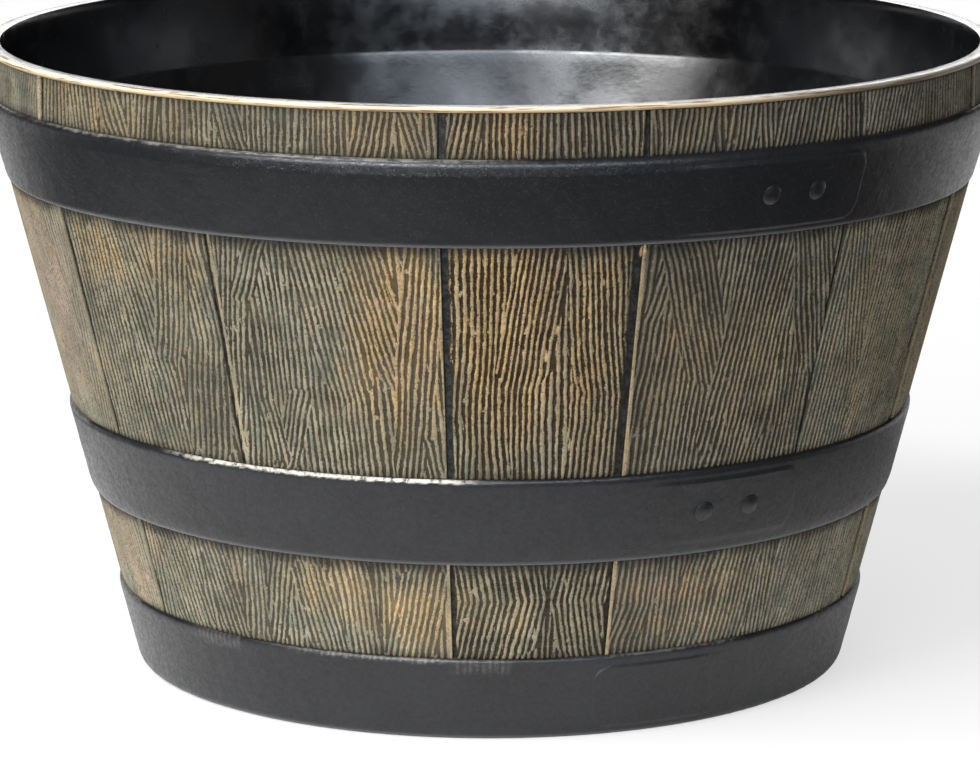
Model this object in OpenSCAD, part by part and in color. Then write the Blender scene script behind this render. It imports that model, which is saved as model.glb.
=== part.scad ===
// Half-barrel planter: a thin moulded tub, dressed with wood-effect stave
// panels that three riveted hoops hold in place. The origin is on the ground,
// under the middle of the floor. +Z is up and the front faces -Y.

/* [Overall size] */
// Height from the ground to the top of the rim
height = 326; // [290:1:400]
// Diameter over the rim lip
rim_d = 520; // [470:1:600]
// Diameter over the staves at the ground
foot_d = 365.4; // [330:0.2:420]
// Height of the upright band at the top of the wall
upright_h = 33; // [20:1:50]

/* [Tub] */
// Thickness of the tub's wall
tub_t = 2.5; // [2:0.1:4]
// Thickness of the tub's floor
floor_t = 3.5; // [2.5:0.1:6]
// Height of the hollow under the floor
foot_h = 3; // [2:0.1:3.5]
// Width of the ring that stands on the ground
foot_ring_w = 10; // [9:0.5:16]
// Thickness of the flange that the staves stand on
flange_t = 3; // [2:0.1:5]
// Thickness of the rim
rim_t = 3; // [2:0.1:5]
// How far the rim's lip stands out past the staves
lip_out = 2.2; // [1.6:0.1:4]
// Radius of the cove between the wall and the floor
cove_r = 8; // [3:0.5:20]

/* [Staves] */
// Thickness of a stave
stave_t = 3; // [2.5:0.1:5]
// Width of the groove that marks each stave joint
groove_w = 4.2; // [2:0.1:8]
// Depth of that groove
groove_t = 1.2; // [0.5:0.1:1.6]
// Clearance between pieces that lie face to face
fit = 0.1; // [0.05:0.01:0.15]

/* [Hoops] */
// Depth of the seat that each hoop has in the staves
seat_t = 0.5; // [0.3:0.1:0.8]
// Drop from the top of the rim to the top of the upper hoop
upper_drop = 25; // [15:0.5:30]
// Width of the upper hoop
upper_w = 43.5; // [30:0.5:50]
// Height of the middle hoop's lower edge above the ground
middle_z = 94; // [75:1:110]
// Width of the middle hoop
middle_w = 45; // [30:0.5:55]
// Height of the lower hoop's lower edge above the ground
lower_z = 0.5; // [0.4:0.1:3]
// Width of the lower hoop
lower_w = 43; // [30:0.5:55]
// How far the hoops stand proud of the staves
proud = 2.2; // [1.6:0.1:4]
// How far the upper hoop's lower edge stands proud
upper_proud_low = 1.2; // [0.8:0.1:2]

/* [Laps and rivets] */
// Thickness of the overlapping strap end
lap_t = 0.8; // [0.4:0.1:1.5]
// Margin between the strap end and the hoop's rounded edges
lap_margin = 1.5; // [0.5:0.1:4]
// Corner radius of the strap end
lap_corner_r = 9; // [4:0.5:12]
// Angle, from the front to the right, of the upper and middle strap ends
lap_end = 44.3; // [40:0.1:60]
// Angle of the lower hoop's strap end, which points the other way
lower_lap_end = 15.2; // [10:0.1:25]
// Length of the overlap round the hoop, in degrees
lap_arc = 26; // [24:0.5:30]
// Diameter of a rivet's head
rivet_head_d = 10.5; // [6:0.1:13]
// Height of a rivet's head
rivet_head_h = 1.4; // [0.8:0.1:3]
// Diameter of a rivet's shank
rivet_shank_d = 4; // [2:0.1:5]
// Distance from the strap end to the nearer rivet
rivet_edge = 30; // [24:0.5:34]
// Distance between the two rivets
rivet_pitch = 27; // [20:0.5:32]

/* [Drain] */
// Diameter of the drain hole
drain_d = 20; // [12:0.5:30]
// Clearance round the plug's shank
plug_clear = 0.15; // [0.05:0.01:0.3]
// How far the plug reaches below the floor
plug_reach = 1; // [0:0.1:1.5]
// Width of the plug's head past the hole, all round
plug_head_over = 7; // [4:0.5:12]
// Thickness of the plug's head
plug_head_t = 3; // [2:0.1:5]
// Height of the plug's finger grip
plug_grip_h = 12; // [8:0.5:20]

/* [Hidden] */
$fn = 180;

// The staves are uneven. These joints were measured round the front, in
// degrees from the front to the right, and the rest share what is left.
front_joints = [-59, -33.6, -5.4, 17, 44, 69.5];
stave_count = 14;

// Rounding of each hoop's edges: [height, depth] of a quarter ellipse.
upper_low_edge = [3, 0.6];
middle_low_edge = [8, 1.6];
lower_low_edge = [4.5, 2.1];
top_edge_h = 4;
edge_steps = 5;
edge_lip = 0.2; // what a hoop's top edge keeps above the staves

mould_black = [0.06, 0.06, 0.07];
hoop_grey = [0.17, 0.17, 0.19];
wood_brown = [0.45, 0.38, 0.28];

shell_r = rim_d/2 - lip_out;    // staves' outer face at the upright band
bend_z = height - upright_h;    // where the lean ends
lean_slope = (shell_r - foot_d/2)/bend_z;
rim_z = height - rim_t;
tub_inset = stave_t + fit;      // tub's outer face, measured in from the staves' face
floor_z = foot_h + floor_t;
upper_z = height - upper_drop - upper_w;
cut_over = 1;                   // how far a cutting shape runs past what it cuts

// Hoops as [lower edge, width, proud at the low side, proud at the top, low edge]
upper = [upper_z, upper_w, upper_proud_low, proud + 0.5, upper_low_edge];
middle = [middle_z, middle_w, proud, proud, middle_low_edge];
lower = [lower_z, lower_w, proud, proud, lower_low_edge];
HOOPS = [upper, middle, lower];

// Radius of the staves' outer face at a height
function wall_r(z) = min(foot_d/2 + lean_slope*z, shell_r);

// Points [radius, height] up a line that runs inside that face by an inset
function wall_points(z0, z1, inset) = concat(
    [[wall_r(z0) - inset, z0]],
    z0 < bend_z && bend_z < z1 ? [[shell_r - inset, bend_z]] : [],
    [[wall_r(z1) - inset, z1]]);

function reversed(list) = [for (i = [len(list) - 1:-1:0]) list[i]];

// A strip of wall between two heights and two insets
module wall_strip(z0, z1, outer_inset, inner_inset)
    polygon(concat(wall_points(z0, z1, outer_inset),
        reversed(wall_points(z0, z1, inner_inset))));

// Turns a profile round the axis, between two angles from the front
module turned(from, to)
    rotate([0, 0, from - 90]) rotate_extrude(angle = to - from) children();

// Angle of a stave joint, counted from the first one on the left of the front
function joint_angle(i) = i < len(front_joints) ? front_joints[i]
    : front_joints[len(front_joints) - 1] + (i - len(front_joints) + 1)
        * (360 + front_joints[0] - front_joints[len(front_joints) - 1])
        / (stave_count - len(front_joints) + 1);

// Angle that an arc length takes on the wall at a height
function arc_deg(len, z) = len/wall_r(z)*180/PI;

// ---- Tub: wall, floor, foot ring, the flange under the staves and the rim

module tub_profile() {
    ring_out = [for (z = [0, flange_t]) [wall_r(z) - seat_t, z]];
    inner = tub_inset + tub_t;
    cove_z = floor_z + cove_r;
    cove_r0 = wall_r(cove_z) - inner;
    cove = [for (t = [0:15:90])
        [cove_r0 - cove_r*(1 - cos(t)), cove_z - cove_r*sin(t)]];
    nose_r = rim_d/2 - rim_t/2;
    polygon(concat(
        [[0, foot_h], [ring_out[0][0] - foot_ring_w, foot_h],
            [ring_out[0][0] - foot_ring_w, 0]],
        ring_out,
        wall_points(flange_t, rim_z, tub_inset),
        [[nose_r, rim_z], [nose_r, height]],
        reversed(wall_points(cove_z + fit, height, inner)),
        cove,
        [[0, floor_z]]));
    translate([nose_r, height - rim_t/2]) circle(d = rim_t);
}

module tub() {
    color(mould_black) difference() {
        rotate_extrude() tub_profile();
        translate([0, 0, foot_h - cut_over])
            cylinder(d = drain_d, h = floor_t + 2*cut_over);
    }
}

// ---- Staves: panels between the flange and the rim, with a seat per hoop

module stave_profile() {
    difference() {
        wall_strip(flange_t + fit, rim_z - fit, 0, stave_t);
        for (h = HOOPS)
            wall_strip(h[0] - fit, h[0] + h[1] + fit, -cut_over, seat_t);
    }
}

// The groove is cut in whichever stave of the pair is nearer the front
module stave(i) {
    from = joint_angle(i);
    to = joint_angle(i + 1);
    side_gap = arc_deg(fit, 0);
    groove = arc_deg(groove_w, height/2);
    color(wood_brown) difference() {
        turned(from, to - side_gap) stave_profile();
        if (from < 0 || from >= 180)
            turned(from - side_gap, from + groove)
                wall_strip(0, height, -cut_over, groove_t);
        if (to > 0 && to < 180)
            turned(to - groove, to + side_gap)
                wall_strip(0, height, -cut_over, groove_t);
    }
}

// ---- Hoops: flat straps with rounded edges and one overlapped, riveted end

function hoop_top(h) = h[0] + h[1];

// How far a hoop stands proud of the staves at a height
function hoop_proud(h, z) = h[2] + (h[3] - h[2])*(z - h[0])/h[1];

// Radius of a hoop's outer face at a height
function hoop_r(h, z) = wall_r(z) + hoop_proud(h, z);

// Points up a hoop's outer face, between two heights
function face_points(h, z0, z1, out) = concat(
    [[hoop_r(h, z0) + out, z0]],
    z0 < bend_z && bend_z < z1 ? [[hoop_r(h, bend_z) + out, bend_z]] : [],
    [[hoop_r(h, z1) + out, z1]]);

module hoop_profile(h) {
    top = hoop_top(h);
    low_edge = [for (i = [0:edge_steps - 1])
        let (t = i*90/edge_steps, z = h[0] + h[4][0]*(1 - cos(t)))
        [hoop_r(h, z) - h[4][1]*(1 - sin(t)), z]];
    top_edge = [for (i = [edge_steps - 1:-1:0])
        let (t = i*90/edge_steps, z = top - top_edge_h*(1 - cos(t)))
        [hoop_r(h, z) - (h[3] - edge_lip)*(1 - sin(t)), z]];
    polygon(concat(
        low_edge,
        face_points(h, h[0] + h[4][0], top - top_edge_h, 0),
        top_edge,
        reversed(wall_points(h[0], top, seat_t - fit))));
}

// Height range of a hoop's strap end
function lap_z0(h) = h[0] + h[4][0]*0.6 + lap_margin;
function lap_z1(h) = hoop_top(h) - top_edge_h - lap_margin;

// The strap end's outline, seen square on: rounded corners at its free end,
// x along the hoop from the end, y from the middle of the strap
module lap_outline(h) {
    half = (lap_z1(h) - lap_z0(h))/2;
    long = 2*shell_r;
    translate([-long, -half]) square([long - lap_corner_r, 2*half]);
    translate([-long, lap_corner_r - half]) square([long, 2*(half - lap_corner_r)]);
    for (s = [-1, 1])
        translate([-lap_corner_r, s*(half - lap_corner_r)]) circle(r = lap_corner_r);
}

// The strap end as a raised plate. side is 1 if its free end points to the
// right round the barrel and -1 if it points to the left.
module lap(h, end, side) {
    root = end - side*lap_arc;
    intersection() {
        turned(min(root, end + side), max(root, end + side))
            polygon(concat(
                face_points(h, lap_z0(h) - cut_over, lap_z1(h) + cut_over, lap_t),
                reversed(face_points(h, lap_z0(h) - cut_over,
                    lap_z1(h) + cut_over, -upper_proud_low/2))));
        rotate([0, 0, end]) translate([0, 0, (lap_z0(h) + lap_z1(h))/2])
            rotate([90, 0, 0]) linear_extrude(rim_d)
                scale([side, 1, 1]) lap_outline(h);
    }
}

// Local lean of a hoop's face, in degrees
function face_lean(h, z) = atan(hoop_r(h, z + 0.5) - hoop_r(h, z - 0.5));

// Puts a child on a hoop's strap end, with +Z square out of the face
module on_lap(h, angle) {
    z = (lap_z0(h) + lap_z1(h))/2;
    rotate([0, 0, angle - 90]) translate([hoop_r(h, z) + lap_t, 0, z])
        rotate([0, 90 + face_lean(h, z), 0]) children();
}

// Angles of a strap end's two rivets
function rivet_angles(h, end) = let (z = (lap_z0(h) + lap_z1(h))/2)
    [for (d = [rivet_edge, rivet_edge + rivet_pitch]) end - arc_deg(d, z)];

// Thickness of strap end and hoop together, square through them at the rivets
function grip_t(h) = let (z = (lap_z0(h) + lap_z1(h))/2)
    (hoop_proud(h, z) + seat_t - fit + lap_t)*cos(face_lean(h, z));

module riveted_hoop(h) {
    color(hoop_grey) difference() {
        union() {
            rotate_extrude() hoop_profile(h);
            lap(h, lap_end, 1);
        }
        for (a = rivet_angles(h, lap_end))
            on_lap(h, a) translate([0, 0, -2*grip_t(h)])
                cylinder(d = rivet_shank_d + 2*fit, h = 3*grip_t(h));
    }
}

module upper_hoop() riveted_hoop(upper);

module middle_hoop() riveted_hoop(middle);

module lower_hoop() {
    color(hoop_grey) {
        rotate_extrude() hoop_profile(lower);
        lap(lower, lower_lap_end, -1);
    }
}

// ---- Rivets: low domed heads on shanks that stop inside the hoop

module rivet(h) {
    dome_r = (pow(rivet_head_d/2, 2) + pow(rivet_head_h, 2))/(2*rivet_head_h);
    translate([0, 0, fit]) rotate_extrude() intersection() {
        translate([0, rivet_head_h - dome_r]) circle(r = dome_r);
        square([rivet_head_d/2, rivet_head_h]);
    }
    translate([0, 0, fit - grip_t(h)]) cylinder(d = rivet_shank_d, h = grip_t(h));
}

module hoop_rivets(h)
    color(hoop_grey) for (a = rivet_angles(h, lap_end)) on_lap(h, a) rivet(h);

module upper_hoop_rivets() hoop_rivets(upper);

module middle_hoop_rivets() hoop_rivets(middle);

// ---- Drain plug: pushed in from above, with a grip to pull it by

module drain_plug() {
    shank_r = drain_d/2 - plug_clear;
    head_r = drain_d/2 + plug_head_over;
    grip_r = drain_d*0.3;
    grip_neck = grip_r*0.7;
    grip_knob_h = plug_grip_h*0.4;
    top = floor_z + plug_head_t;
    color(mould_black) rotate_extrude() polygon([
        [0, foot_h - plug_reach],
        [shank_r - 1, foot_h - plug_reach],
        [shank_r, foot_h - plug_reach + 1],
        [shank_r, floor_z],
        [head_r, floor_z],
        [head_r, top - 1],
        [head_r - 1, top],
        [grip_neck, top],
        [grip_neck, top + plug_grip_h - grip_knob_h],
        [grip_r, top + plug_grip_h - grip_knob_h],
        [grip_r, top + plug_grip_h - 1],
        [grip_r - 1, top + plug_grip_h],
        [0, top + plug_grip_h]]);
}

tub();
stave(0);  // stave_01
stave(1);  // stave_02
stave(2);  // stave_03
stave(3);  // stave_04
stave(4);  // stave_05
stave(5);  // stave_06
stave(6);  // stave_07
stave(7);  // stave_08
stave(8);  // stave_09
stave(9);  // stave_10
stave(10);  // stave_11
stave(11);  // stave_12
stave(12);  // stave_13
stave(13);  // stave_14
upper_hoop();
middle_hoop();
lower_hoop();
upper_hoop_rivets();
middle_hoop_rivets();
drain_plug();
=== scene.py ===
"""Half-barrel planter: a thin moulded resin tub dressed as an oak half barrel.

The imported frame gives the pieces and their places. The script goes through the planter as it is
put together: the staves, the hoops round them, the rivets, the tub inside and its drain plug.
Lengths are in millimetres until they go into a mesh. Angles run from the front, -Y, to the right.
"""

import bpy
import numpy as np
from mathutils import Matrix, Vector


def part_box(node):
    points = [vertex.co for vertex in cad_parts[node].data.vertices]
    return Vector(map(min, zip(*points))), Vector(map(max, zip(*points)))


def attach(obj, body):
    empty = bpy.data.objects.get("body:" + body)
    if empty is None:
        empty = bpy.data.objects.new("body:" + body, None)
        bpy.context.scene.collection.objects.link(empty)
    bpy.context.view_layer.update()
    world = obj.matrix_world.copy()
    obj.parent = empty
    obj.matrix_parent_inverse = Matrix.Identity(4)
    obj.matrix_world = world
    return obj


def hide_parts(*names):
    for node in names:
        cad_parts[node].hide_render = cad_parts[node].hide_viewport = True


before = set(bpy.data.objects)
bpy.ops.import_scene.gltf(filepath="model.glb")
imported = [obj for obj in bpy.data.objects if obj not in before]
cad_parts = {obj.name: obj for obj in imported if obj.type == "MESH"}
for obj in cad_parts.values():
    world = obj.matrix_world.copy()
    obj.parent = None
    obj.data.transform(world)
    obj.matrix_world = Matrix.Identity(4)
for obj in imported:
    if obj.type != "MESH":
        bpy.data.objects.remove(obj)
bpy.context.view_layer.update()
scene = bpy.context.scene
scene.view_settings.view_transform = "Standard"

# ---------------------------------------------------------------------------------------------
# Camera. A long lens from 2.6 m, a little above the rim, looking down into the tub: it was worked
# out from the ellipses of the rim, the hoops and the foot.

lens_data = bpy.data.cameras.new("camera")
lens_data.sensor_width = 36
lens_data.lens = 177.76
lens_data.clip_end = 50
camera = bpy.data.objects.new("camera", lens_data)
camera.location = (0, -2.4866, 0.6555)
camera.rotation_euler = (np.radians(78.264), 0, 0)
scene.collection.objects.link(camera)
scene.camera = camera

# ---------------------------------------------------------------------------------------------
# Studio. A white floor, which past the planter turns dark towards the front for all but the
# camera, in a dim room with a white backdrop. A strip lamp up to the left, a low one and a wide
# faint panel that the inside mirrors, and one behind that the flat of the rim mirrors.


def new_material(name):
    """An empty node material. Returns the material and its node tree."""
    material = bpy.data.materials.new(name)
    material.use_nodes = True
    tree = material.node_tree
    tree.nodes.clear()
    return material, tree


def wire(tree, kind, into=None, **settings):
    """Adds a node. settings are its properties or its inputs by name with _ for a space, and a
    setting that is a socket is linked to it. into is a socket that its first output feeds."""
    node = tree.nodes.new(kind)
    for label, value in settings.items():
        if label.startswith("in_"):
            key = int(label[3:]) if label[3:].isdigit() else label[3:].replace("_", " ")
            socket = node.inputs[key]
        elif hasattr(node, label):
            setattr(node, label, value)
            continue
        else:
            socket = node.inputs[label.replace("_", " ")]
        if isinstance(value, bpy.types.NodeSocket):
            tree.links.new(value, socket)
        else:
            socket.default_value = value
    if into is not None:
        tree.links.new(node.outputs[0], into)
    return node


def maths(tree, operation, first, second=0.0, clamp=False):
    """Adds a Math node and returns its output."""
    return wire(tree, "ShaderNodeMath", operation=operation, use_clamp=clamp,
                in_0=first, in_1=second).outputs[0]


def between(tree, value, low, high):
    """Adds a smooth step of a value between two levels and returns it, 0 to 1."""
    return wire(tree, "ShaderNodeMapRange", interpolation_type="SMOOTHSTEP", Value=value,
                From_Min=low, From_Max=high).outputs[0]


def tinted(tree, share, first, second):
    """Adds a colour Mix node and returns its output."""
    node = wire(tree, "ShaderNodeMix", data_type="RGBA")
    for socket, value in ((node.inputs[0], share), (node.inputs[6], first),
                          (node.inputs[7], second)):
        if isinstance(value, bpy.types.NodeSocket):
            tree.links.new(value, socket)
        else:
            socket.default_value = value
    return node.outputs[2]


room_light = 0.46       # what the room gives to matt surfaces
room_back, room_front = 0.02, 0.1       # and what gloss shows of it
floor_keeps = 0.38      # share of the floor's shading that the camera sees near the planter
keeps_to, keeps_from = 1.1, 0.5         # it fades out between these distances
white_to, dark_from = 0.38, 0.56        # how far out the floor is white all round
white_middle = (-0.09, 0, 0)
white_behind, to_the_right = 0.85, 0.2  # how far back it is white again, and its turn
white_tone, dark_tone = (0.9, 0.9, 0.9, 1), (0.05, 0.05, 0.05, 1)
panel_tone = (0.77, 0.87, 1.0)

world = bpy.data.worlds.new("surround")
world.use_nodes = True
sky = world.node_tree
sky.nodes.clear()
# Gloss sees a room that is dim behind and a little brighter in front, and a white backdrop behind
# and below the horizon. The camera sees white.
path = wire(sky, "ShaderNodeLightPath").outputs
axes = wire(sky, "ShaderNodeSeparateXYZ",
            Vector=wire(sky, "ShaderNodeTexCoord").outputs["Generated"])
frontness = between(sky, maths(sky, "MULTIPLY", axes.outputs["Y"], -1.0), -0.3, 0.5)
room = wire(sky, "ShaderNodeMapRange", Value=frontness, To_Min=room_back, To_Max=room_front)
backdrop = maths(sky, "MULTIPLY", between(sky, axes.outputs["Y"], 0.1, 0.5),
                 between(sky, axes.outputs["Z"], 0.1, 0.0))
glossy = wire(sky, "ShaderNodeMix", in_0=backdrop, in_2=room.outputs[0], in_3=1.0)
mirrored = maths(sky, "ADD", path["Is Glossy Ray"], path["Is Transmission Ray"], clamp=True)
strength = wire(sky, "ShaderNodeMix", in_0=mirrored, in_2=room_light, in_3=glossy.outputs[0])
strength = wire(sky, "ShaderNodeMix", in_0=path["Is Camera Ray"], in_2=strength.outputs[0],
                in_3=1.0)
sky_out = wire(sky, "ShaderNodeOutputWorld")
wire(sky, "ShaderNodeBackground", sky_out.inputs[0], Color=(1, 1, 1, 1),
     Strength=strength.outputs[0])
scene.world = world

floor_material, tree = new_material("floor_white")
output = wire(tree, "ShaderNodeOutputMaterial")
path = wire(tree, "ShaderNodeLightPath").outputs
place = wire(tree, "ShaderNodeTexCoord").outputs["Object"]
axes = wire(tree, "ShaderNodeSeparateXYZ", Vector=place)
far_out = wire(tree, "ShaderNodeVectorMath", operation="DISTANCE", in_0=place,
               in_1=white_middle).outputs["Value"]
# It stays white behind the planter as well, and a little more so on the right.
backwards = maths(tree, "ADD", axes.outputs["Y"],
                  maths(tree, "MULTIPLY", axes.outputs["X"], to_the_right))
dark = maths(tree, "MULTIPLY", between(tree, far_out, white_to, dark_from),
             between(tree, backwards, white_behind, 0.0))
dark = maths(tree, "MULTIPLY", dark, maths(tree, "SUBTRACT", 1.0, path["Is Camera Ray"]))
lit = wire(tree, "ShaderNodeBsdfDiffuse", Color=tinted(tree, dark, white_tone, dark_tone))
white = wire(tree, "ShaderNodeEmission", Color=(1, 1, 1, 1), Strength=1.0)
kept = maths(tree, "MULTIPLY", between(tree, far_out, keeps_to, keeps_from), floor_keeps)
share = maths(tree, "MULTIPLY", path["Is Camera Ray"], maths(tree, "SUBTRACT", 1.0, kept))
wire(tree, "ShaderNodeMixShader", output.inputs[0], in_0=share, in_1=lit.outputs[0],
     in_2=white.outputs[0])

floor_mesh = bpy.data.meshes.new("floor")
floor_reach = 8
floor_mesh.from_pydata([(x * floor_reach, y * floor_reach, 0)
                        for x, y in ((-1, -1), (1, -1), (1, 1), (-1, 1))], [], [(0, 1, 2, 3)])
floor_mesh.materials.append(floor_material)
floor = bpy.data.objects.new("floor", floor_mesh)
scene.collection.objects.link(floor)

# name, place, how far it is turned from straight down, width, height, watts
lamps = [
    ("key_lamp", (-1.2, -1.15, 2.4), (36, 0, -46), 2.2, 0.4, 66),
    ("front_lamp", (-1.42, -2.45, 1.0), (75, 0, -30), 2.5, 0.5, 76),
    ("back_lamp", (0, 2.3, 0.98), (-105, 0, 0), 2.2, 0.7, 20),
    ("panel", (0.0, -2.9, 1.0), (76, 0, 0), 4.0, 0.7, 76),
]
for name, place, turn, width, height, watts in lamps:
    lamp_data = bpy.data.lights.new(name, "AREA")
    lamp_data.shape = "RECTANGLE"
    lamp_data.size, lamp_data.size_y = width, height
    lamp_data.energy = watts
    if name == "panel":
        lamp_data.color = panel_tone
    lamp = bpy.data.objects.new(name, lamp_data)
    lamp.location = place
    lamp.rotation_euler = np.radians(turn)
    lamp.visible_diffuse = name != "panel"
    scene.collection.objects.link(lamp)

# ---------------------------------------------------------------------------------------------
# Staves. Fourteen panels of black resin with raised grain. The ridges carry a wash of tan and
# grey-green paint and the grooves stay dark. Each stands on the tub's flange, under its rim.

MM = 0.001
stave_t = 3.0
seat_t = 0.5            # how much a stave steps back where a hoop lies on it
foot_r = 182.7
upright_from = 293.0    # where the lean ends


def node_points(node):
    """A CAD node's corners at rest, in millimetres."""
    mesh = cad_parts[node].data
    points = np.empty(len(mesh.vertices) * 3)
    mesh.vertices.foreach_get("co", points)
    return points.reshape(-1, 3) / MM


def node_span(node):
    """The first and last angle of a CAD node, in degrees from the front to the right."""
    points = node_points(node)
    angle = np.degrees(np.arctan2(points[:, 0], -points[:, 1])) % 360
    middle = np.degrees(np.arctan2(points[:, 0].mean(), -points[:, 1].mean()))
    turn = (angle - middle + 180) % 360 - 180
    return middle + turn.min(), middle + turn.max()


def node_heights(node):
    """The lowest and highest point of a CAD node, in millimetres."""
    low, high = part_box(node)
    return low[2] / MM, high[2] / MM


shell_r = np.hypot(*node_points("stave_08")[:, :2].T).max()
lean_slope = (shell_r - foot_r) / upright_from
hoop_names = ["lower_hoop", "middle_hoop", "upper_hoop"]
hoop_spans = {name: node_heights(name) for name in hoop_names}


def wall_r(z):
    """Radius of the staves' face at a height: a straight lean up to the upright band."""
    return np.minimum(foot_r + lean_slope * z, shell_r)


def ease(value, start, end):
    """0 up to start, 1 from end on, and a smooth S between them."""
    t = np.clip((value - start) / (end - start), 0, 1)
    return t * t * (3 - 2 * t)


def drift(u, v, seed, turns=0):
    """Smooth random field from -1 to 1: random heights on a lattice with a step of 1, eased
    between its points. turns is the period in u, for a field that closes on itself."""
    size = 512
    period = turns or size
    table = np.random.default_rng(seed).uniform(-1, 1, (period, size))
    u, v = np.broadcast_arrays(u, v)
    ui, vi = np.floor(u).astype(int), np.floor(v).astype(int)
    fu, fv = ease(u - ui, 0, 1), ease(v - vi, 0, 1)
    u0, u1, v0, v1 = ui % period, (ui + 1) % period, vi % size, (vi + 1) % size
    low = table[u0, v0] * (1 - fu) + table[u1, v0] * fu
    high = table[u0, v1] * (1 - fu) + table[u1, v1] * fu
    return low * (1 - fv) + high * fv


def skin(name, points, closed_rows=False, **fields):
    """Mesh over a grid of points (rows, columns, 3). Columns close into rings. The rows close as
    well, or else the first and last row end in one flat face each. Faces are turned to point
    outwards by the sign of the volume. fields are values at the points, kept as attributes."""
    rows, columns, _ = points.shape
    index = np.arange(rows * columns).reshape(rows, columns)
    here, above = (index, np.roll(index, -1, 0)) if closed_rows else (index[:-1], index[1:])
    quads = np.stack([here, np.roll(here, -1, 1), np.roll(above, -1, 1), above], -1)
    quads = quads.reshape(-1, 4)
    flat = (points - points.mean((0, 1))).reshape(-1, 3)
    a, b, c, d = (flat[quads[:, i]] for i in range(4))
    volume = (np.cross(b - a, c - a) * a + np.cross(c - a, d - a) * a).sum()
    corners, sizes = quads.ravel(), np.full(len(quads), 4)
    if not closed_rows:
        corners = np.concatenate([corners, index[0][::-1], index[-1]])
        sizes = np.append(sizes, [columns, columns])
    if volume < 0:
        corners, sizes = corners[::-1], sizes[::-1]
    mesh = bpy.data.meshes.new(name)
    mesh.vertices.add(rows * columns)
    mesh.vertices.foreach_set("co", (points.reshape(-1, 3) * MM).astype(np.float32).ravel())
    mesh.loops.add(len(corners))
    mesh.loops.foreach_set("vertex_index", np.ascontiguousarray(corners, np.int32))
    mesh.polygons.add(len(sizes))
    starts = np.concatenate([[0], np.cumsum(sizes)[:-1]])
    mesh.polygons.foreach_set("loop_start", starts.astype(np.int32))
    mesh.update(calc_edges=True)
    mesh.shade_smooth()
    for label, values in fields.items():
        layer = mesh.attributes.new(label, "FLOAT", "POINT")
        layer.data.foreach_set("value", np.asarray(values, np.float32).ravel())
    piece = bpy.data.objects.new(name, mesh)
    scene.collection.objects.link(piece)
    return piece


def round_points(radius, angle, height):
    """Points from cylinder coordinates, with the angle in degrees from the front to the right."""
    radius, turn, height = np.broadcast_arrays(radius, np.radians(angle), height)
    return np.stack([radius * np.sin(turn), -radius * np.cos(turn), height], -1)


column_step = 0.45      # spacing of the mesh across the grain
row_step = 1.15         # and along it
pitch = 3.08            # from ridge to ridge
coarse_pitch = 3.45     # and on stave_01
ridge_rise = 0.3        # ridge tops above the stave's face
ridge_depth = 0.8       # from ridge top to groove bottom
joint_depth = 1.2

# Bundles of ridges, as the photograph shows them on each front stave: middle of the bundle across
# the stave and above the ground, half its width and height, its lean from plumb in degrees (top
# to the right is positive), how much further it leans at its upper end and, for a few, the lean
# above and opposite lean below a kink in its middle.
front_bundles = {
    "stave_01": [(-30, 200, 26, 64, -3, 3), (2, 225, 14, 50, -7, -2), (26, 225, 12, 40, 15, 2),
                 (36, 170, 14, 34, 10, 4), (-14, 68, 16, 28, -10, 0), (18, 66, 10, 26, -7, 0),
                 (38, 70, 8, 26, 10, 3), (-16, 314, 12, 14, -12, 0), (6, 314, 9, 14, -20, 0),
                 (30, 314, 9, 14, 6, 0)],
    "stave_02": [(-50, 205, 9, 62, 8, 0), (-36, 243, 7, 20, 20, 6), (-22, 160, 8, 24, 14, 6),
                 (-33, 158, 6, 18, -13, 3), (4, 225, 15, 48, -8, -3), (27, 228, 13, 44, -9, -4),
                 (45, 205, 10, 74, 8.5, 0), (48, 150, 4, 12, -10, 0),
                 (-41, 70, 8, 28, 12, 2), (-18, 66, 12, 26, -8, -2), (2, 72, 10, 26, -6, 0),
                 (32, 66, 13, 28, 11, 2), (-42, 314, 8, 14, -15, 0), (33, 312, 10, 14, 9, 0),
                 (51, 312, 5, 14, -12, 0)],
    "stave_03": [(-28, 160, 15, 26, -3, 2), (-4, 224, 14, 40, 5, 3), (28, 222, 15, 44, -3, -4),
                 (27, 160, 14, 24, 3, 0), (-15, 74, 23, 34, 0, 0, -10), (25, 74, 17, 34, 0, 0, 10),
                 (-38, 312, 8, 14, 8, 0)],
    "stave_04": [(-46, 238, 5, 22, 8, 6), (-27, 226, 14, 46, -17, -5), (10, 205, 20, 70, 5, 0),
                 (45, 222, 14, 44, -12, -6), (-35, 61, 9, 12, 10, 0),
                 (12, 68, 24, 26, 4, 6), (-38, 312, 12, 14, 10, 0), (-12, 312, 9, 14, 11, 0),
                 (26, 312, 20, 14, 12, 0)],
    "stave_05": [(-34, 225, 10, 48, -12, -6), (8, 205, 22, 64, 4, 2), (34, 190, 12, 46, 11, 2),
                 (-20, 68, 14, 26, 8, 0), (-30, 312, 22, 14, 14, 0)],
}
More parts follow.
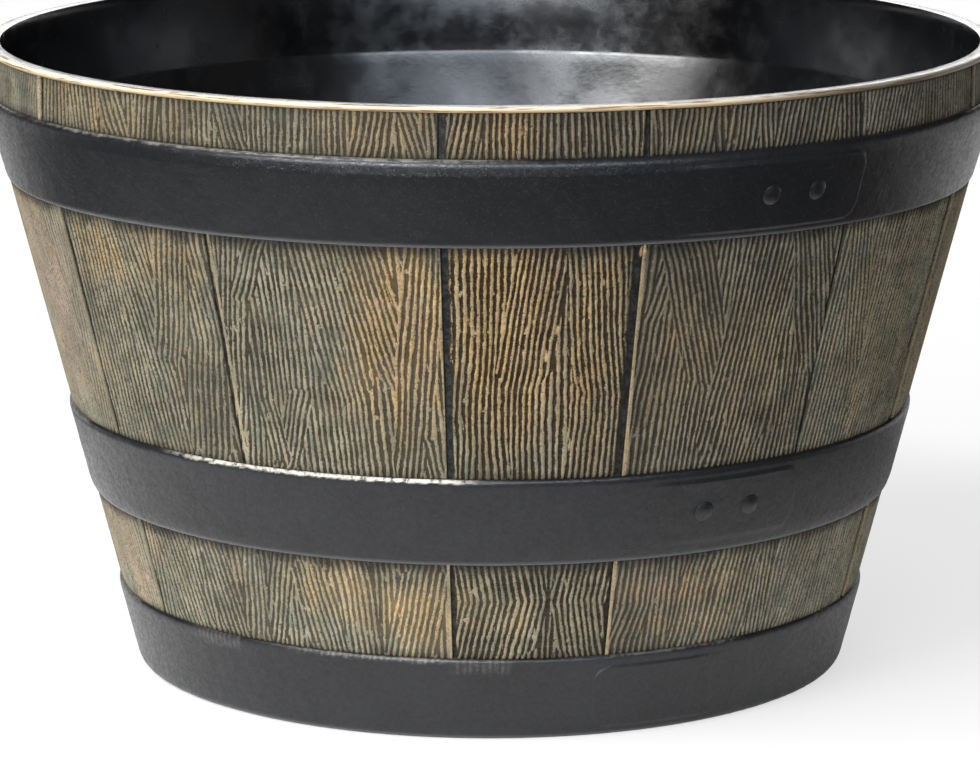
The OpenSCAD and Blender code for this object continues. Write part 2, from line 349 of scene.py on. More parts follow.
# Tan paint on the ridges: angle and height of the middle of a patch, its reach in degrees and in
# millimetres, how strong it is, and how far it turns to rose.
tan_patches = [
    (2, 215, 8, 60, 1.0, 0.1), (11, 205, 6, 55, 0.75, 0.25), (-10, 215, 7, 52, 1.0, 0.2),
    (-14, 190, 5, 30, 0.5, 0.5), (-51, 240, 6, 18, 0.55, 0.0), (-40, 240, 6, 20, 0.5, 0.0),
    (24, 200, 8, 30, 0.5, 1.0), (33, 190, 7, 32, 0.45, 1.0), (-10, 67, 9, 19, 0.72, 0.0),
    (-21, 76, 8, 16, 0.6, 0.1), (27, 76, 13, 9, 0.65, 0.9), (28, 58, 10, 7, 0.55, 0.9),
    (3, 68, 7, 14, 0.3, 0.2), (-46, 314, 14, 14, 0.4, 0.0), (-13, 314, 7, 14, 0.5, 0.2),
    (1, 314, 5, 14, 0.7, 0.1), (22, 314, 6, 14, 0.3, 0.1), (-70, 215, 12, 66, 0.6, 1.7),
    (-67, 70, 10, 34, 0.5, 1.6), (77, 205, 7, 70, 0.5, 0.7), (55, 200, 9, 60, 0.3, 0.9),
]
# How the front joints look in the lower, middle and upper zone, by their angle: width of the dark
# groove, how softly it begins, how clearly the edge across it stands out, and how clearly a
# bright line runs along the groove, a raised edge painted bright tan as a painted glint.
front_joints = {
    -59: ((3.0, 1.0, 0.5, 0), (4.2, 2.6, 0.5, 0), (4.0, 2.4, 0.9, 0)),
    -34: ((0.4, 0, 0, 0), (2.2, 1.5, 0, 0.6), (0.4, 0, 0, 0)),
    -5: ((2.4, 1.5, 0.7, 0), (4.0, 2, 0.35, 0), (3.6, 2, 0.15, 0)),
    17: ((2.0, 1.5, 0.9, 0), (5.4, 4, 0.9, 0), (3.0, 2, 0.4, 0)),
    44: ((1.2, 1, 0, 0), (2.0, 1.8, 0, 0), (0.4, 0, 0, 0)),
    70: ((5.4, 1.5, 1.0, 0), (6.2, 1.5, 1.0, 0), (5.4, 1.5, 0.8, 0)),
}
plain_joint = ((2.2, 1.5, 0.4, 0), (4.0, 2.5, 0.4, 0), (2.4, 1.5, 0.3, 0))
same_joint = 3          # a joint is one of the front ones if it lies this near, in degrees
# Blots of tan paint that lie over the grain: angle, height, radius in millimetres and how many
# times as high as wide.
blots = [(17.2, 254, 2.0, 1.3), (-61.5, 60, 2.0, 1.2), (-6.3, 243, 1.4, 1.8), (7.5, 216, 0.9, 3.4),
         (6.4, 203, 0.8, 3.4)]
# How strong the wash is on the ridges, how much of it lies in the grooves as well, and how much
# stronger it gets to the right: for the staves that the photograph shows, and as usual.
# The rise to the right is painted light: stave_04 is washed lighter to the right against the lamps'
# fall-off.
washes = {"stave_14": (0.62, 1.4, 0), "stave_01": (0.73, 0.3, 0), "stave_02": (0.84, 0.2, 0),
          "stave_03": (0.76, -0.1, 0), "stave_04": (0.6, 0.28, 0.34), "stave_05": (0.9, 0.46, 0),
          "stave_06": (0.88, 0.55, 0)}
usual_wash = (0.88, 0.2, 0)
# The three bare zones of a stave that the photograph doesn't show: from and to height, bundles.
bare_zones = [(44, 94, 4), (139, 257, 6), (301, 323, 3)]


def joint_look(joint, z):
    """Groove width and softness, crisp edge and painted glint line of the joint at an angle, at
    each height."""
    near = min(front_joints, key=lambda known: abs(known - joint))
    zones = front_joints[near] if abs(near - joint) < same_joint else plain_joint
    zone = (z > hoop_spans["middle_hoop"][0]) * 1 + (z > hoop_spans["upper_hoop"][0])
    return (np.array(zones, float)[zone, which] for which in range(4))


def random_bundles(half_w, seed):
    """Bundles for a stave that the photograph doesn't show, spread over its three bare zones."""
    pick = np.random.default_rng(seed)
    made = []
    for low, high, count in bare_zones:
        for across in np.linspace(-0.8, 0.8, count) * half_w:
            up = pick.uniform(low + 0.3 * (high - low), high - 0.3 * (high - low))
            made.append((across + pick.uniform(-6, 6), up, pick.uniform(6, 14),
                         (high - low) * pick.uniform(0.3, 0.6), pick.choice([-1, 1])
                         * pick.uniform(4, 16), pick.uniform(-6, 6)))
    return made


def grain(x, z, bundles, spacing, seed):
    """Height of the grain, 0 in the grooves to 1 on the ridges, at places across and up a stave.
    The base is a wave across the stave. Each bundle lays its own leaning wave over what is there.
    At its straighter end its ridges run on from those below or above. It narrows towards its
    ends and its edges are soft, so that ridges fork or stop there. The whole is warped so that
    no ridge is straight, rounded at its top, and roughened along its edges."""
    x = x + 1.5 * drift(x / 16, z / 42, seed) + 0.35 * drift(x / 5, z / 13, seed + 1)
    x = x + 0.16 * drift(x / 2.2, z / 4.5, seed + 9)
    wave = np.exp(2j * np.pi * x / spacing)
    for across, up, half_w, half_h, lean, bend, *kink in bundles:
        def shift(rise):
            return (np.tan(np.radians(lean)) * rise + np.tan(np.radians(sum(kink))) * np.abs(rise)
                    + np.tan(np.radians(bend)) * rise * np.abs(rise) / (2 * half_h))

        rise = z - up
        joins_at = -half_h if lean * bend >= 0 else half_h
        u = x - shift(rise)
        taper = np.clip(2.4 * (1.15 - np.abs(rise) / half_h), 0, 1)
        inside = ease(half_w * taper - np.abs(u - across), -1.2, 1.6)
        inside = inside * ease(half_h - np.abs(rise), -4, 9)
        laid = np.exp(2j * np.pi * (u + shift(joins_at)) / spacing)
        wave = wave * (1 - inside) + inside * laid
    crest = wave.real / np.maximum(np.abs(wave), 0.45)
    crest = crest + 0.3 * drift(x / 5, z / 22, seed + 2)
    crest = crest + 0.5 * drift(x / 1.0, z / 2.2, seed + 3)
    height = ease(crest, -0.6, 0.8)
    nicks = ease(drift(x / 1.3, z / 1.7, seed + 4), 0.6, 0.85)
    links = ease(drift((x + 0.16 * z) / 1.4, z / 5, seed + 10), 0.74, 0.88)
    return np.maximum(height * (1 - 0.35 * nicks), 0.75 * links)


def stave_rows():
    """Heights of the rows: close together where a stave is bare, far apart behind the hoops.
    Each row has a mark, 1 where it is bare."""
    low, high = node_heights("stave_01")
    edges = [low] + [z for name in hoop_names for z in hoop_spans[name]] + [high]
    heights, bare = [low], [0]
    for start, end in zip(edges[2::2], edges[3::2]):
        count = int((end - start) / row_step)
        if start > upright_from:
            heights, bare = heights + [upright_from], bare + [0]
        heights += [start - 0.05, *np.linspace(start + 0.05, end - 0.05, count), end + 0.05]
        bare += [0, *np.ones(count), 0]
    return np.array(heights[:-1]), np.array(bare[:-1])


def joint_relief(first, last, angle, z, face, seed):
    """A joint's groove lies along one edge of a stave, and the edge across it stands up crisp.
    Returns how far a place is in a groove and how far it is on a crisp edge or a painted glint
    line, each 0 to 1, and how those lines wander."""
    plain, edge_and_glint = 0 * angle * face, 0 * angle * face
    for joint, into in ((first, 1), (last, -1)):
        away = into * np.radians(angle - joint) * face
        joint = (joint + 180) % 360 - 180
        wander = 0.6 * drift(0 * away, z / 17, seed + 5) + 0.6 * drift(away / 2, z / 3, seed + 6)
        wide, soft, crisp, glint_line = joint_look(joint, z)
        if (joint < 0) == (into > 0):
            side = 1 - ease(away + wander, wide - soft, wide + 0.6)
            plain = np.maximum(plain, side * ease(wide, 0.8, 2.2))
            edge_and_glint = np.maximum(edge_and_glint, glint_line * (1 - ease(np.abs(away - wide - 1.1), 0.5, 1.1)))
        else:
            far = 0.5 + 0.7 * crisp
            rim = 1 - ease(away + 0.5 * wander, far, far + 0.9)
            edge_and_glint = np.maximum(edge_and_glint, np.minimum(crisp, 1) * rim)
    return plain, edge_and_glint, wander


def paint(number, x, z, turned, half_w, plain, seed):
    """The wash on a stave, with painted shade in it: how well it covers, how far it turns to tan
    and to rose, and how much fills the grooves. It fades to a painted shadow under each hoop and
    just above each hoop's ledge, is weaker above the upper hoop as painted shade under the rim, and
    comes and goes a little. Low down the grooves fill lighter as painted light from the floor.
    Away from the front, clouds of tan stand in for the patches."""
    no_hoop = 99.0
    to_hoop, over_hoop = np.full_like(z, no_hoop), np.full_like(z, no_hoop)
    for low, high in hoop_spans.values():
        to_hoop = np.minimum(to_hoop, np.where(z <= low, low - z, no_hoop))
        over_hoop = np.minimum(over_hoop, np.where(z >= high, z - high, no_hoop))
    patchy = 0.5 + 0.5 * drift(x / 13, z / 26, seed + 7)
    on_ridges, in_grooves, painted_fill_to_right = washes.get(f"stave_{number:02d}", usual_wash)
    # The rise to the right is painted light against the lamps' fall-off.
    wash_and_shade = (0.62 + 0.38 * patchy) * on_ridges * (1 + painted_fill_to_right * x / half_w)
    # Painted shade: the wash is a third weaker above the upper hoop, standing in for the rim's
    # shadow.
    wash_and_shade = wash_and_shade * (1 - 0.34 * (z > hoop_spans["upper_hoop"][0]))
    # Painted shadow: the wash fades out under each hoop and just above each hoop's ledge.
    wash_and_shade = wash_and_shade * (0.15 + 0.85 * ease(to_hoop + 3 * patchy, 1.5, 9))
    wash_and_shade = wash_and_shade * (0.45 + 0.55 * ease(over_hoop + 2 * patchy, 0.5, 6)) * (1 - plain)

    tan, rose = 0 * x, 0 * x
    for patch_angle, patch_z, reach, reach_z, amount, pink in tan_patches:
        far = ((turned - patch_angle) / reach) ** 2 + ((z - patch_z) / reach_z) ** 2
        patch = amount * np.exp(-far ** 1.5)
        tan, rose = np.maximum(tan, patch), np.maximum(rose, patch * pink)
    elsewhere = ease(np.abs(turned), 86, 100)
    cloud = drift(turned / 9 + 40, z / 55 + number, 7)
    tan = np.maximum(tan, elsewhere * ease(cloud, 0.0, 0.7))
    tan = tan + 0.2 * drift(x / 7, z / 16, seed + 8)
    tan = np.clip(tan + (0.08 + 0.24 * tan) * drift(x / 2.6, z / 9, seed + 12), 0, 1)
    rose = np.clip(rose + 0.35 * drift(x / 3.4, z / 12, seed + 13), 0, 1)

    # Painted light: low down the grooves fill lighter, standing in for light thrown up from the
    # floor.
    floor_lit_low_down = z < hoop_spans["middle_hoop"][0]
    fill = in_grooves + 0.12 * floor_lit_low_down + 0.14 * drift(x / 30, z / 6, seed + 11)
    fill = fill + (0.1 + 0.25 * floor_lit_low_down) * tan
    fill = np.clip(fill, 0, 1) * (1 - plain) * wash_and_shade
    return wash_and_shade + 0.15 * tan * (1 - plain), tan, rose, fill


def stave(number):
    """One stave: rings of points round its outline, stacked up its height."""
    name = f"stave_{number:02d}"
    first, last = node_span(name)
    middle, seed = (first + last) / 2, 100 * number
    half_w = np.radians(last - first) / 2 * shell_r
    z, bare = (row[:, None] for row in stave_rows())
    angle = np.linspace(first, last, int(2 * half_w / column_step))[None, :]
    turned = (angle + 180) % 360 - 180
    face = wall_r(z)
    x = np.radians(angle - middle) * face
    bundles = front_bundles.get(name) or random_bundles(half_w, seed)
    ridge = grain(x, z, bundles, coarse_pitch if name == "stave_01" else pitch, seed)
    plain, edge_and_glint, wander = joint_relief(first, last, angle, z, face, seed)
    ridge = np.maximum(ridge, ease(edge_and_glint, 0, 0.6)) * (1 - plain)
    radius = face + (ridge_rise - ridge_depth * (1 - ridge)) * (1 - plain) - joint_depth * plain
    radius = np.where(bare > 0, radius, face - seat_t)

    wash_and_shade, tan, rose, fill = paint(number, x, z, turned, half_w, plain, seed)
    # Crisp edges take tan paint; along some grooves the same bright tan is a painted glint.
    tan = np.maximum(tan, 0.6 * edge_and_glint)
    wash_and_shade = np.maximum(wash_and_shade, 0.85 * edge_and_glint)
    for blot_angle, blot_z, reach, tall in blots:
        away = np.hypot(np.radians(turned - blot_angle) * face, (z - blot_z) / tall)
        blot = 1 - ease(away + 1.2 * wander, reach - 0.8, reach + 0.5)
        ridge, wash_and_shade, tan = (np.maximum(values, blot) for values in (ridge, wash_and_shade, tan))

    back_angle = np.linspace(last, first, 6)[None, :]
    back = round_points(wall_r(z) - stave_t, back_angle, z)
    points = np.concatenate([round_points(radius, angle, z), back], 1)
    blank = np.zeros((len(z), back_angle.size))
    fields = {label: np.concatenate([values * np.ones_like(x), blank], 1) for label, values in
              {"ridge": ridge, "wash_and_shade": wash_and_shade, "tan": tan, "rose": rose, "fill": fill}.items()}
    piece = skin(f"{name}_panel", points, **fields)
    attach(piece, "planter")
    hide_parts(name)
    return piece


def colour(red, green, blue):
    """A colour read as 0 to 255 on screen, turned into the linear values of a shader."""
    value = np.array([red, green, blue]) / 255
    linear = np.where(value <= 0.04045, value / 12.92, ((value + 0.055) / 1.055) ** 2.4)
    return (*linear, 1.0)


def spots(tree, scale, detail=2.0, roughness=0.55, stretch=(1, 1, 1)):
    """Adds a Noise texture on Object coordinates and returns its value, 0 to 1."""
    place = wire(tree, "ShaderNodeTexCoord").outputs["Object"]
    place = wire(tree, "ShaderNodeVectorMath", operation="MULTIPLY", in_0=place, in_1=stretch)
    return wire(tree, "ShaderNodeTexNoise", Vector=place.outputs[0], Scale=scale, Detail=detail,
                Roughness=roughness).outputs[0]


def shader(tree, **settings):
    """Adds the Principled BSDF with its output."""
    output = wire(tree, "ShaderNodeOutputMaterial")
    return wire(tree, "ShaderNodeBsdfPrincipled", output.inputs[0], **settings)


def pitted_group():
    """Fine pits and soft swells, as a casting has: a height for a bump and a 0 to 1 fleck."""
    group = bpy.data.node_groups.new("pitted", "ShaderNodeTree")
    for label, default in (("Pit size", 1.0), ("Pit depth", 1.0), ("Swell", 1.0)):
        socket = group.interface.new_socket(label, in_out="INPUT", socket_type="NodeSocketFloat")
        socket.default_value = default
    for label in ("Height", "Fleck"):
        group.interface.new_socket(label, in_out="OUTPUT", socket_type="NodeSocketFloat")
    given = wire(group, "NodeGroupInput").outputs
    fine = spots(group, maths(group, "DIVIDE", 620.0, given["Pit size"]), 3, 0.6)
    coarse = spots(group, maths(group, "DIVIDE", 240.0, given["Pit size"]), 2, 0.5)
    swell = spots(group, 60.0, 2, 0.5)
    pits = between(group, fine, 0.56, 0.70)
    height = maths(group, "MULTIPLY", maths(group, "ADD", pits, coarse), given["Pit depth"])
    height = maths(group, "ADD", maths(group, "MULTIPLY", height, -1.0),
                   maths(group, "MULTIPLY", swell, given["Swell"]))
    result = wire(group, "NodeGroupOutput")
    group.links.new(height, result.inputs["Height"])
    group.links.new(pits, result.inputs["Fleck"])
    return group


pitted = pitted_group()


def pitting(tree, size, depth, swell):
    """Places the pitted group with its own values and returns its outputs."""
    node = wire(tree, "ShaderNodeGroup")
    node.node_tree = pitted
    for label, value in (("Pit size", size), ("Pit depth", depth), ("Swell", swell)):
        node.inputs[label].default_value = value
    return node.outputs


stave_material, tree = new_material("stave_wash")
ridge, wash_and_shade, tan, rose, fill = (
    wire(tree, "ShaderNodeAttribute", attribute_name=label).outputs["Fac"]
    for label in ("ridge", "wash_and_shade", "tan", "rose", "fill"))
speck = spots(tree, 950.0, 3, 0.75)
mottle = spots(tree, 420.0, 3, 0.6)
smear = spots(tree, 90.0, 3, 0.6)
brushed = between(tree, spots(tree, 30.0, 3, 0.7, (1, 1, 26)), 0.45, 0.7)
ragged = maths(tree, "SUBTRACT", maths(tree, "ADD", ridge, maths(tree, "MULTIPLY", speck, 1.8)),
               0.9)
on_top = between(tree, ragged, 0.25, 0.75)
khaki = tinted(tree, between(tree, smear, 0.38, 0.62), colour(166, 163, 142),
               colour(127, 132, 116))
khaki = tinted(tree, between(tree, spots(tree, 200.0, 2, 0.5), 0.52, 0.7), khaki,
               colour(164, 148, 128))
tan_tone = tinted(tree, between(tree, mottle, 0.35, 0.65), colour(184, 148, 96),
                  colour(206, 180, 132))
rose_tone = colour(170, 146, 126)
top_tone = tinted(tree, tan, khaki, tinted(tree, rose, tan_tone, rose_tone))
top_tone = tinted(tree, between(tree, speck, 0.5, 0.3), top_tone, colour(92, 86, 66))
painted = maths(tree, "MULTIPLY", on_top, wash_and_shade, clamp=True)
joint_tone = tinted(tree, between(tree, mottle, 0.4, 0.65), colour(22, 23, 23),
                    colour(50, 53, 53))
groove_tone = tinted(tree, between(tree, wash_and_shade, 0.0, 0.35), joint_tone, colour(40, 30, 16))
fill_tone = tinted(tree, rose, colour(152, 138, 106), colour(142, 128, 116))
groove_tone = tinted(tree, fill, groove_tone, tinted(tree, tan, colour(112, 112, 102), fill_tone))
brushed = maths(tree, "MULTIPLY", maths(tree, "MULTIPLY", brushed, wash_and_shade), 0.22)
groove_tone = tinted(tree, brushed, groove_tone, colour(128, 124, 104))
tone = tinted(tree, painted, groove_tone, top_tone)
pits = pitting(tree, 0.8, 0.5, 0.2)
bump = wire(tree, "ShaderNodeBump", Height=pits["Height"], Strength=0.35, Distance=0.0003)
roughness = wire(tree, "ShaderNodeMapRange", Value=painted, To_Min=0.6, To_Max=0.68)
shader(tree, Base_Color=tone, Roughness=roughness.outputs[0], Normal=bump.outputs[0],
       Specular_IOR_Level=0.18)

for number in range(1, 15):
    stave(number).data.materials.append(stave_material)

# ---------------------------------------------------------------------------------------------
# Hoops. Flat straps moulded in blue-black resin, finely pitted like old iron. Each is a ring with
# rounded edges, and has one strap end that laps over it with rounded corners.

hoop_back = 0.4         # the back lies this far inside the staves' face
lap_t, lap_margin, lap_corner = 0.8, 1.5, 9.0
lap_arc = 26
top_round, top_lip = 4.0, 0.2
near_arc, near_step, far_step = 38, 0.115, 0.36     # columns round the strap end and elsewhere
hoop_row_step = 0.85
rib_pitch = 3.15        # of the ridges that print onto the lower hoop
hoop_turns = 180        # steps of the random dents round a hoop
# Proud of the staves at the lower edge and at the top, height and depth of the lower edge's
# rounding, angle of the strap end and the way it points, to the right or to the left.
hoop_sizes = {
    "upper_hoop": (1.2, 2.7, 3.0, 0.6, 44.3, 1),
    "middle_hoop": (2.2, 2.2, 8.0, 1.6, 44.3, 1),
    "lower_hoop": (2.2, 2.2, 4.5, 2.1, 15.2, -1),
}
# Where the top ledge is painted near-white: worn paint, and over these angles also a painted
# highlight where the ledge catches the lamps from above: from and to angle, how much and how far
# down. It is a little worn elsewhere.
ledge_wear_and_highlight = {"upper_hoop": (-58, 4, 0.22, 1.3), "middle_hoop": (-43, 0, 0.9, 2.0),
              "lower_hoop": (-34, -3, 0.05, 1.2)}
# The staves' ridges print onto the lower hoop in places: from and to angle, how far down the
# hoop, how strongly.
prints = [(-51, -39, 8, 0.2), (-31.5, -6, 2.4, 0.34), (-6, 3.5, 9, 0.16)]


def strap_end(angle, z, middle_z, half, end, side):
    """How much the strap end lies over a place, 0 to 1: a long strip with rounded corners and a
    short step at its free end, which merges into the hoop at its other end."""
    along = np.radians(side * (end - angle)) * wall_r(middle_z)
    up = np.abs(z - middle_z)
    corner_x = np.maximum(lap_corner - along, 0)
    corner_y = np.maximum(up - (half - lap_corner), 0)
    inside = lap_corner - np.hypot(corner_x, corner_y)
    merge = np.radians(lap_arc) * wall_r(middle_z) - along
    return ease(inside, -0.1, 0.7) * ease(merge, 0, 40)


def hoop(name):
    """One hoop: a closed outline carried round the axis, with the strap end and soft dents as
    changes of its radius."""
    proud_low, proud_top, low_h, low_in, end, side = hoop_sizes[name]
    low, high = hoop_spans[name]
    seed = 2000 + hoop_names.index(name)

    # Rows up the outside: quarter ellipses at both edges and an even face between them.
    t = np.radians(np.linspace(0, 90, 9))
    low_z, low_cut = low + low_h * (1 - np.cos(t)), low_in * (1 - np.sin(t))
    top_z = high - top_round * (1 - np.cos(t[::-1]))
    top_cut = (proud_top - top_lip) * (1 - np.sin(t[::-1]))
    count = int((top_z[0] - low_z[-1]) / hoop_row_step)
    face_z = np.linspace(low_z[-1], top_z[0], count + 2)[1:-1]
    z = np.concatenate([low_z, face_z, top_z])[:, None]
    cut = np.concatenate([low_cut, 0 * face_z, top_cut])[:, None]

    # Columns: close together round the strap end, further apart elsewhere.
    start = end - 32 if side > 0 else end - 6
    near = np.arange(start, start + near_arc, near_step)
    far = np.arange(start + near_arc, start + 360, far_step)
    angle = np.concatenate([near, far])[None, :]

    # Radius: the staves' face and what the hoop stands proud, with dents and the strap end.
    proud = proud_low + (proud_top - proud_low) * (z - low) / (high - low)
    u = angle / 360 * hoop_turns
    dents = 0.10 * drift(u, z / 9, seed, hoop_turns)
    dents = dents + 0.05 * drift(u * 4, z / 2.2, seed + 1, hoop_turns * 4)
    radius = wall_r(z) + proud - cut * (1 + 0.12 * drift(u * 2, z / 6, seed + 2, hoop_turns * 2))
    radius = radius + dents * ease(z, low + 0.5, low + 3) * (1 - ease(z, high - 3, high - 0.5))
    lap_low = low + 0.6 * low_h + lap_margin
    lap_high = high - top_round - lap_margin
    radius = radius + lap_t * strap_end(angle, z, (lap_low + lap_high) / 2,
                                        (lap_high - lap_low) / 2, end, side)

    # Wear and a painted highlight on the top ledge, with a ragged edge, and the printed ridges.
    turned = (angle + 180) % 360 - 180
    from_angle, to_angle, amount, down = ledge_wear_and_highlight[name]
    worn_and_lit = ease(turned, from_angle - 6, from_angle + 6) * (1 - ease(turned, to_angle - 6, to_angle))
    a_little = 0.14 * ease(drift(u / 6, 0, seed + 3, hoop_turns // 6), 0.1, 0.6)
    worn_and_lit = np.maximum(amount * worn_and_lit, a_little)
    ragged = 0.7 * drift(u * 4, z / 1.1, seed + 4, hoop_turns * 4)
    ledge = worn_and_lit * ease(z + ragged, high - down, high - down + 0.9)
    if name == "lower_hoop":
        ribs = 0.5 + 0.5 * np.cos(2 * np.pi * np.radians(turned) * wall_r(high) / rib_pitch)
        for from_angle, to_angle, down, amount in prints:
            here = ease(turned, from_angle, from_angle + 1.5)
            here = here * ease(-turned, -to_angle, 1.5 - to_angle)
            here = here * amount * ease(z + 2 * ragged, high - down, high - 0.6 * down)
            radius, ledge = radius + 0.3 * here * ribs, np.maximum(ledge, 0.5 * here * ribs)
    # Painted reflection: the bead along the lower edge is lightened as if it mirrored the white
    # floor.
    bead = (1 - ease(z, low + 0.3, low + 2.2)) * np.ones_like(angle)

    back_z = np.linspace(high, low, 6)[:, None]
    outside = round_points(radius, angle, z)
    back = round_points(wall_r(back_z) - hoop_back, angle, back_z)
    blank = np.zeros((back_z.size, angle.size))
    piece = skin(f"{name}_strap", np.concatenate([outside, back]), closed_rows=True,
                 ledge=np.concatenate([ledge, blank]), bead=np.concatenate([bead, blank]))
    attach(piece, "planter")
    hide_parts(name)
    return piece


hoop_material, tree = new_material("hoop_black")
pits = pitting(tree, 0.8, 0.7, 1.2)
blotch = between(tree, spots(tree, 45.0, 4, 0.65), 0.3, 0.7)
tone = tinted(tree, blotch, colour(11, 12, 14), colour(21, 22, 25))
mottle = between(tree, spots(tree, 420.0, 4, 0.7), 0.36, 0.64)
tone = tinted(tree, maths(tree, "MULTIPLY", mottle, 0.5), tone, colour(36, 37, 41))
tone = tinted(tree, pits["Fleck"], tone, colour(6, 6, 7))
ledge = wire(tree, "ShaderNodeAttribute", attribute_name="ledge").outputs["Fac"]
bead = wire(tree, "ShaderNodeAttribute", attribute_name="bead").outputs["Fac"]
chips = between(tree, spots(tree, 260.0, 4, 0.75), 0.34, 0.56)
# Near-white on the ledge: worn paint, and a painted highlight where the ledge catches the lamps.
tone = tinted(tree, maths(tree, "MULTIPLY", ledge, chips), tone, colour(214, 209, 198))
# Painted reflection of the floor: the lower bead is tinted light grey.
tone = tinted(tree, maths(tree, "MULTIPLY", bead, 0.45), tone, colour(120, 120, 122))
bump = wire(tree, "ShaderNodeBump", Height=pits["Height"], Strength=0.4, Distance=0.0003)
roughness = wire(tree, "ShaderNodeMapRange", Value=mottle, To_Min=0.44, To_Max=0.28)
shader(tree, Base_Color=tone, Roughness=roughness.outputs[0], Normal=bump.outputs[0], IOR=1.5)

for name in hoop_names:
    hoop(name).data.materials.append(hoop_material)

# ---------------------------------------------------------------------------------------------
# Rivets. Two low domes on each of the upper two strap ends. The CAD's solids have the right shape
# and stay; they get the hoops' finish.

for name in ("upper_hoop_rivets", "middle_hoop_rivets"):
    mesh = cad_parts[name].data
    mesh.materials.clear()
    mesh.materials.append(hoop_material)

# ---------------------------------------------------------------------------------------------
# Tub. One thin black moulding: floor, wall and a flat rim that covers the staves' ends. Its inside
# is satin with a blotchy film, dusty towards the floor, and the rim's lip has caught some tan wash
# that pales to cream at its top, a painted reflection there.

tub_t, floor_z, floor_under = 2.5, 6.5, 3.0
foot_ring_w, flange_t, rim_t = 10.0, 3.0, 3.0
rim_r, rim_top = 260.0, 326.0
cove_r = 8.0
drain_r = 10.0
fit = 0.1               # play between the staves and the wall
bend_z, bend_h = 283.0, 1.2     # where the wall's inside turns steeper, over how far both ways
lip_w = 3.1             # how far in from its edge the rim has caught wash
# Painted reflection: the lip pales to cream towards its top.
lip_low, lip_high = 323.8, 325.4        # the lip gets paler between these heights
dust_top, dust_low = 240.0, 30.0        # and the dust inside thicker between these
tub_columns = 720


def inside_r(z):
    """Radius of the wall's inside. It leans as the staves do up to the bend and from there goes
    straight to the rim, and a parabola that meets both rounds the bend."""
    steep = (shell_r - wall_r(bend_z)) / (rim_top - bend_z)
    below = np.clip(bend_z + bend_h - z, 0, 2 * bend_h)
    rounded = wall_r(bend_z) + steep * (z - bend_z)
    rounded = rounded - (lean_slope - steep) * below ** 2 / (4 * bend_h)
    return np.where(z > bend_z - bend_h, rounded, wall_r(z)) - stave_t - fit - tub_t


def tub_outline():
    """The tub's cross-section as a closed run of [radius, height], from the drain hole out along
    the underside, up the outside, over the rim and back down the inside."""
    inset = stave_t + fit
    wall_in = inset + tub_t
    nose = rim_t / 2
    turn = np.radians(np.linspace(-90, 90, 13))
    lip = [(rim_r - nose + nose * np.cos(a), rim_top - nose + nose * np.sin(a)) for a in turn]
    inner_z = [*np.linspace(rim_top - 0.6, bend_z + bend_h, 10), bend_z,
               *np.linspace(bend_z - bend_h, floor_z + cove_r, 50)]
    cove_z = floor_z + cove_r
    cove_out = wall_r(cove_z) - wall_in
    cove = [(cove_out - cove_r * (1 - np.cos(a)), cove_z - cove_r * np.sin(a))
            for a in np.radians(np.linspace(0, 90, 10)[1:])]
    foot = wall_r(0) - seat_t
    run = [(drain_r, floor_under), (foot - foot_ring_w - 1, floor_under),
           (foot - foot_ring_w, floor_under - 0.6), (foot - foot_ring_w, 0.3),
           (foot - foot_ring_w + 0.3, 0), (foot - 0.4, 0), (foot, 0.4),
           (wall_r(flange_t) - seat_t, flange_t), (wall_r(flange_t) - inset, flange_t + 0.05)]
    run += [(wall_r(z) - inset, z) for z in np.linspace(flange_t + 1, upright_from, 20)]
    run += [(shell_r - inset, rim_top - rim_t)] + lip + [(rim_r - lip_w, rim_top)]
    run += [(shell_r - wall_in + 0.5, rim_top), (shell_r - wall_in + 0.15, rim_top - 0.15)]
    run += [(float(inside_r(z)), z) for z in inner_z]
    run += cove + [(r, floor_z) for r in np.linspace(cove_out - cove_r - 4, drain_r + 0.5, 14)]
    run += [(drain_r, floor_z - 0.5)]
    return np.array(run)


# The wall's inside sways a little, as a thin moulding does, up to its stiff rim.
outline = tub_outline()
angle = np.linspace(0, 360, tub_columns + 1)[:-1][None, :]
radius, z = outline[:, 0][:, None], outline[:, 1][:, None]
inner = (z > floor_z + 1) & (radius < wall_r(z) - stave_t - 1)
sway = 0.75 * drift(angle / 18, z / 90, 3001, 20) + 0.4 * drift(angle / 8, z / 40, 3002, 45)
sway = sway + 0.12 * drift(angle / 3, z / 22, 3003, 120)
radius = radius + np.where(inner, sway * ease(rim_top - z, 0, 25), 0)
lip_mark = ease(radius, rim_r - lip_w, rim_r - 0.5) * ease(z, rim_top - rim_t - 1, rim_top - 2.4)
lip_mark = lip_mark * (1 - 0.6 * ease(angle, 20, 45) * (1 - ease(angle, 90, 130)))
tub = skin("tub_shell", round_points(radius, angle, z), closed_rows=True, lip=lip_mark)
tub.data.set_sharp_from_angle(angle=np.radians(40))
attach(tub, "planter")
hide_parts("tub")

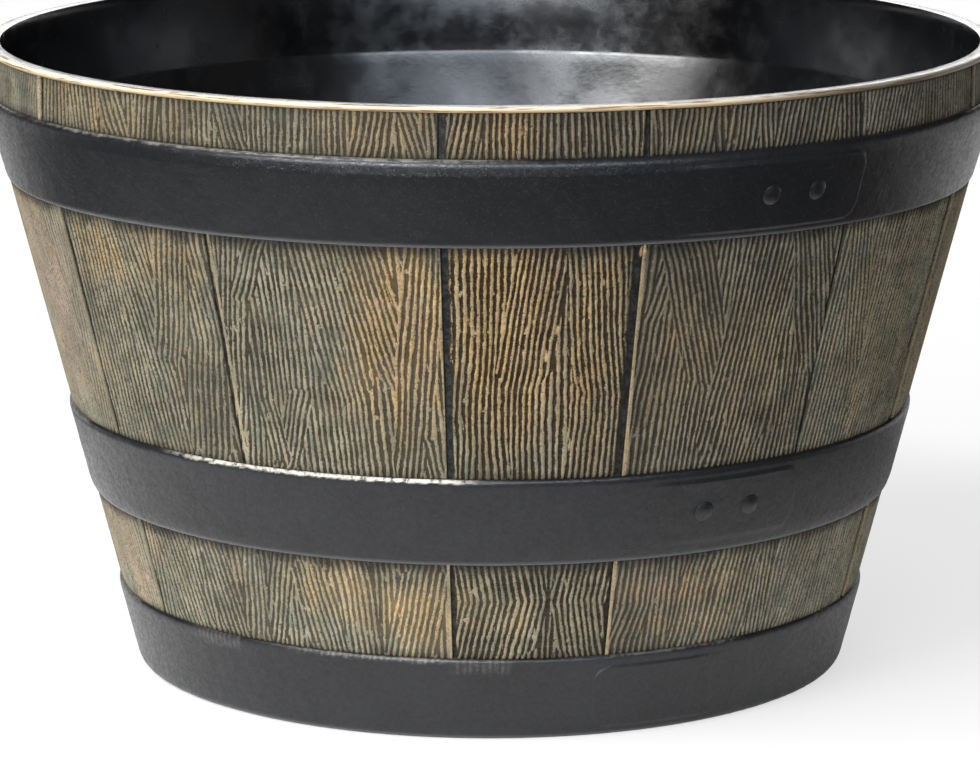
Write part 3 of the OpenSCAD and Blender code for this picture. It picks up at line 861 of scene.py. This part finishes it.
tub_material, tree = new_material("tub_black")
haze = spots(tree, 14.0, 4, 0.6)
scuff = spots(tree, 300.0, 3, 0.6)
film = between(tree, spots(tree, 46.0, 5, 0.68), 0.4, 0.64)
axes = wire(tree, "ShaderNodeSeparateXYZ",
            Vector=wire(tree, "ShaderNodeTexCoord").outputs["Object"])
tone = tinted(tree, between(tree, haze, 0.35, 0.7), colour(3, 3, 4), colour(9, 10, 12))
dusty = between(tree, axes.outputs["Z"], dust_top * MM, dust_low * MM)
tone = tinted(tree, dusty, tone, tinted(tree, film, colour(30, 30, 31), colour(45, 44, 42)))
lip = wire(tree, "ShaderNodeAttribute", attribute_name="lip").outputs["Fac"]
# Tan wash on the lip, paling to cream at the top as a painted reflection.
lip_wash_and_sheen = tinted(tree, between(tree, axes.outputs["Z"], lip_low * MM, lip_high * MM),
                  colour(196, 170, 126), colour(214, 204, 182))
brush = between(tree, spots(tree, 22.0, 3, 0.7, (1, 1, 40)), 0.54, 0.6)
lip_wash_and_sheen = tinted(tree, brush, lip_wash_and_sheen, colour(142, 108, 74))
tone = tinted(tree, lip, tone, lip_wash_and_sheen)
bump = wire(tree, "ShaderNodeBump", Height=scuff, Strength=0.12, Distance=0.0003)
dull = maths(tree, "ADD", maths(tree, "MULTIPLY", haze, 0.5), maths(tree, "MULTIPLY", film, 0.5))
dull = maths(tree, "ADD", dull, dusty)
roughness = wire(tree, "ShaderNodeMapRange", Value=dull, From_Max=2.0, To_Min=0.12, To_Max=0.54)
roughness = maths(tree, "ADD", roughness.outputs[0], maths(tree, "MULTIPLY", lip, 0.45))
shader(tree, Base_Color=tone, Roughness=roughness, Normal=bump.outputs[0], IOR=1.55)
tub.data.materials.append(tub_material)

# ---------------------------------------------------------------------------------------------
# Drain plug. A soft rubber plug pushed into the hole in the floor from above, with a grip.

plug_material, tree = new_material("plug_rubber")
dust = spots(tree, 180.0, 4, 0.6)
tone = tinted(tree, dust, colour(30, 30, 31), colour(52, 52, 54))
bump = wire(tree, "ShaderNodeBump", Height=dust, Strength=0.3, Distance=0.0003)
shader(tree, Base_Color=tone, Roughness=0.62, Normal=bump.outputs[0])
plug_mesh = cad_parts["drain_plug"].data
plug_mesh.materials.clear()
plug_mesh.materials.append(plug_material)
